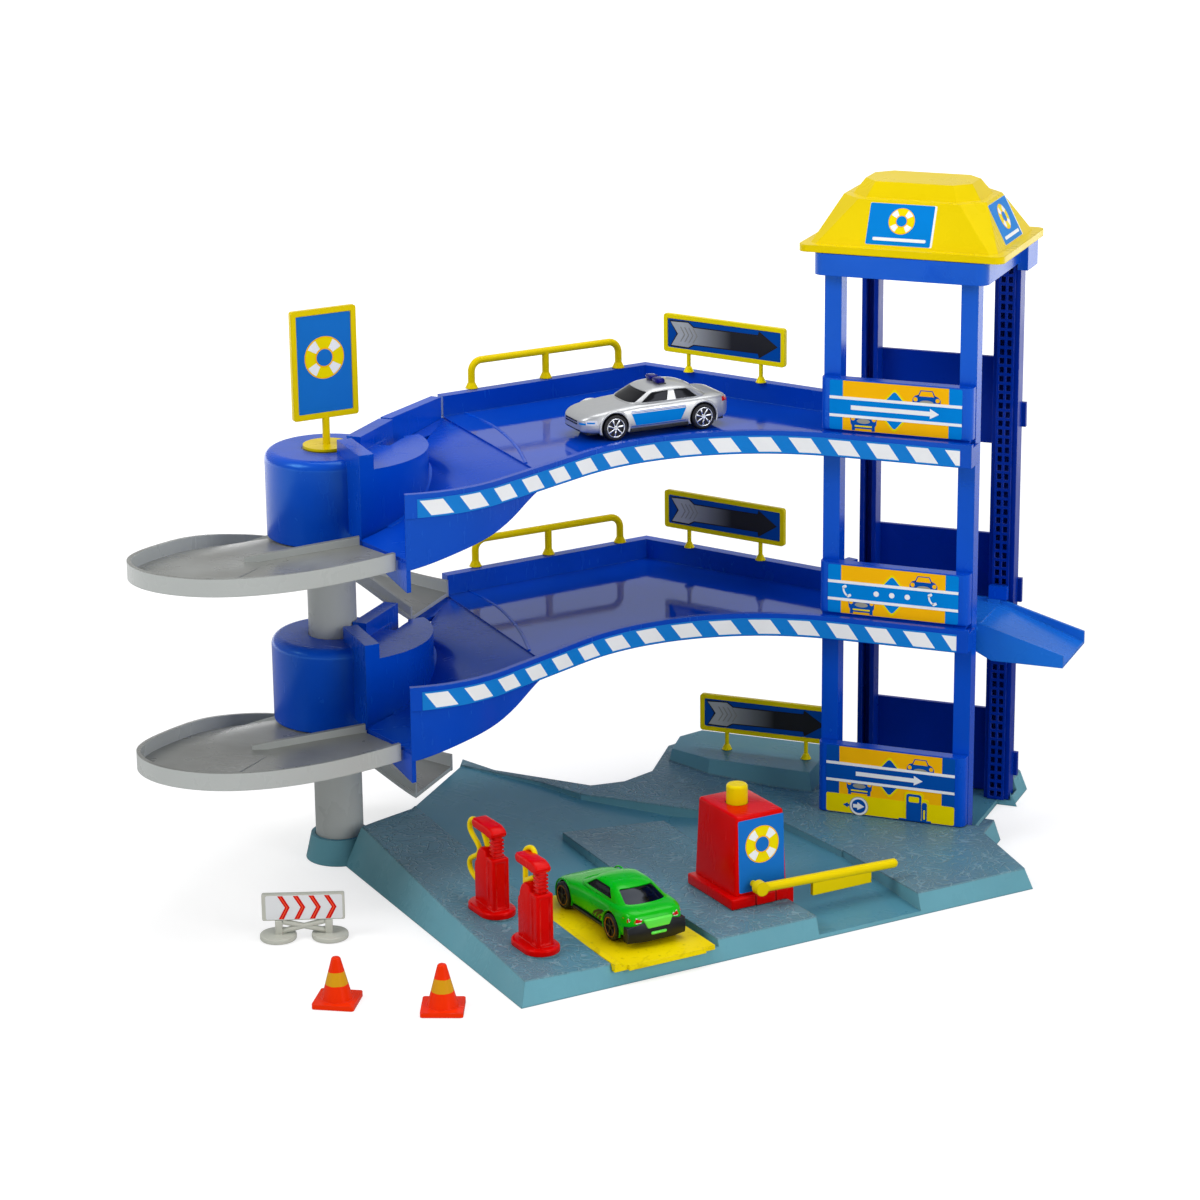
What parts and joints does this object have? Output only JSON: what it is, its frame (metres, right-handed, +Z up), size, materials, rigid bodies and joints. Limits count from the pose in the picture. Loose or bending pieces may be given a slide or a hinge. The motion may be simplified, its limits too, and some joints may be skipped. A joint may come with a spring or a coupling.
{
  "type": "toy rescue station",
  "caption": "Two-deck toy parking station with a hand-moved lift tower, a spiral way down, a push-button barrier, fuel pumps, direction signs and model cars.",
  "frame": {"origin": "on the ground below the middle of the lift tower", "axes": "+X to the right along the tower's front, +Y to the back, +Z up"},
  "size_m": [0.3463, 0.3539, 0.2876],
  "materials": {
    "base_plastic": "fine satin moulding",
    "blue_plastic": "glossy moulding",
    "yellow_plastic": "glossy moulding",
    "grey_plastic": "satin moulding",
    "red_plastic": "glossy moulding",
    "orange_plastic": "glossy moulding",
    "white_plastic": "glossy moulding with a printed panel",
    "spring_steel": "drawn wire",
    "silver_paint": "metallic paint",
    "green_paint": "metallic paint",
    "black_plastic": "satin moulding",
    "window_plastic": "tinted clear moulding",
    "wheel_plastic": "black wheels with bright spokes",
    "lamp_plastic": "clear blue moulding"
  },
  "bodies": {
    "station": {"base_plate": "base_plastic", "booth_plinth": "red_plastic", "booth_shell": "red_plastic", "button_spring": "spring_steel", "column_lower": "grey_plastic", "column_upper": "grey_plastic", "core_lower": "blue_plastic", "core_upper": "blue_plastic", "deck_lower": "blue_plastic", "deck_upper": "blue_plastic", "front_panel_lower": "blue_plastic", "front_panel_middle": "blue_plastic", "front_panel_upper": "blue_plastic", "fuel_hose_1": "yellow_plastic", "fuel_hose_2": "yellow_plastic", "fuel_pump_1": "red_plastic", "fuel_pump_2": "red_plastic", "post_front_left": "blue_plastic", "post_front_right": "blue_plastic", "post_rear_left": "blue_plastic", "post_rear_right": "blue_plastic", "rack": "blue_plastic", "railing_lower": "yellow_plastic", "railing_upper": "yellow_plastic", "rear_panel_lower": "blue_plastic", "rear_panel_middle": "blue_plastic", "rear_panel_upper": "blue_plastic", "roof": "yellow_plastic", "sign_base": "yellow_plastic", "sign_lower": "yellow_plastic", "sign_upper": "yellow_plastic", "spiral_tray_lower": "grey_plastic", "spiral_tray_upper": "grey_plastic", "tower_collar": "blue_plastic", "wall_segment": "blue_plastic", "yellow_plate": "yellow_plastic"},
    "lift": {"lift_platform": "blue_plastic", "lift_latch": "blue_plastic"},
    "flag": {"flag_sign": "yellow_plastic"},
    "barrier": {"barrier_arm": "yellow_plastic"},
    "button": {"booth_button": "yellow_plastic"},
    "silver_car": {"silver_body": "silver_paint", "silver_chassis": "black_plastic", "silver_windows": "window_plastic", "silver_light_bar": "lamp_plastic"},
    "silver_front_wheels": {"silver_wheels_front": "wheel_plastic"},
    "silver_rear_wheels": {"silver_wheels_rear": "wheel_plastic"},
    "green_car": {"green_body": "green_paint", "green_chassis": "black_plastic", "green_windows": "window_plastic"},
    "green_front_wheels": {"green_wheels_front": "wheel_plastic"},
    "green_rear_wheels": {"green_wheels_rear": "wheel_plastic"},
    "first_cone": {"cone_1": "orange_plastic"},
    "second_cone": {"cone_2": "orange_plastic"},
    "road_sign": {"road_sign_panel": "white_plastic", "road_sign_feet": "white_plastic"}
  },
  "joints": [
    {"name": "lift_slide", "type": "slide", "parent": "station", "child": "lift", "axis": [0, 0, 1], "range_m": [-0.0805, 0.082]},
    {"name": "flag_turn", "type": "hinge", "parent": "station", "child": "flag", "pos_m": [-0.2193, -0.1362, 0.1815], "axis": [0, 0, 1], "continuous": true},
    {"name": "barrier_swing", "type": "hinge", "parent": "station", "child": "barrier", "pos_m": [-0.01907, -0.15353, 0.0182], "axis": [0.7771, -0.6293, 0], "range_deg": [0, 70]},
    {"name": "button_press", "type": "slide", "parent": "station", "child": "button", "axis": [0, 0, -1], "range_m": [0, 0.005], "stiffness_N_per_m": 60, "springref_m": -0.001, "deforming": ["button_spring"]},
    {"name": "silver_lift_off", "type": "slide", "parent": "station", "child": "silver_car", "axis": [0, 0, 1], "range_m": [0, 0.04]},
    {"name": "silver_front_axle", "type": "hinge", "parent": "silver_car", "child": "silver_front_wheels", "pos_m": [-0.12127, -0.06801, 0.1871], "axis": [0.7337, -0.6794, 0], "continuous": true},
    {"name": "silver_rear_axle", "type": "hinge", "parent": "silver_car", "child": "silver_rear_wheels", "pos_m": [-0.09273, -0.03719, 0.1871], "axis": [0.7337, -0.6794, 0], "continuous": true},
    {"name": "green_lift_off", "type": "slide", "parent": "station", "child": "green_car", "axis": [0, 0, 1], "range_m": [0, 0.04]},
    {"name": "green_front_axle", "type": "hinge", "parent": "green_car", "child": "green_front_wheels", "pos_m": [-0.08797, -0.16774, 0.0138], "axis": [-0.6293, -0.7771, 0], "continuous": true},
    {"name": "green_rear_axle", "type": "hinge", "parent": "green_car", "child": "green_rear_wheels", "pos_m": [-0.05688, -0.19291, 0.0138], "axis": [-0.6293, -0.7771, 0], "continuous": true},
    {"name": "first_cone_lift_off", "type": "slide", "parent": "station", "child": "first_cone", "axis": [0, 0, 1], "range_m": [0, 0.04]},
    {"name": "second_cone_lift_off", "type": "slide", "parent": "station", "child": "second_cone", "axis": [0, 0, 1], "range_m": [0, 0.04]},
    {"name": "road_sign_lift_off", "type": "slide", "parent": "station", "child": "road_sign", "axis": [0, 0, 1], "range_m": [0, 0.04]}
  ],
  "couplings": [
    {"joint": "button_press", "follows": "barrier_swing", "m_per_rad": 0.0040926}
  ]
}
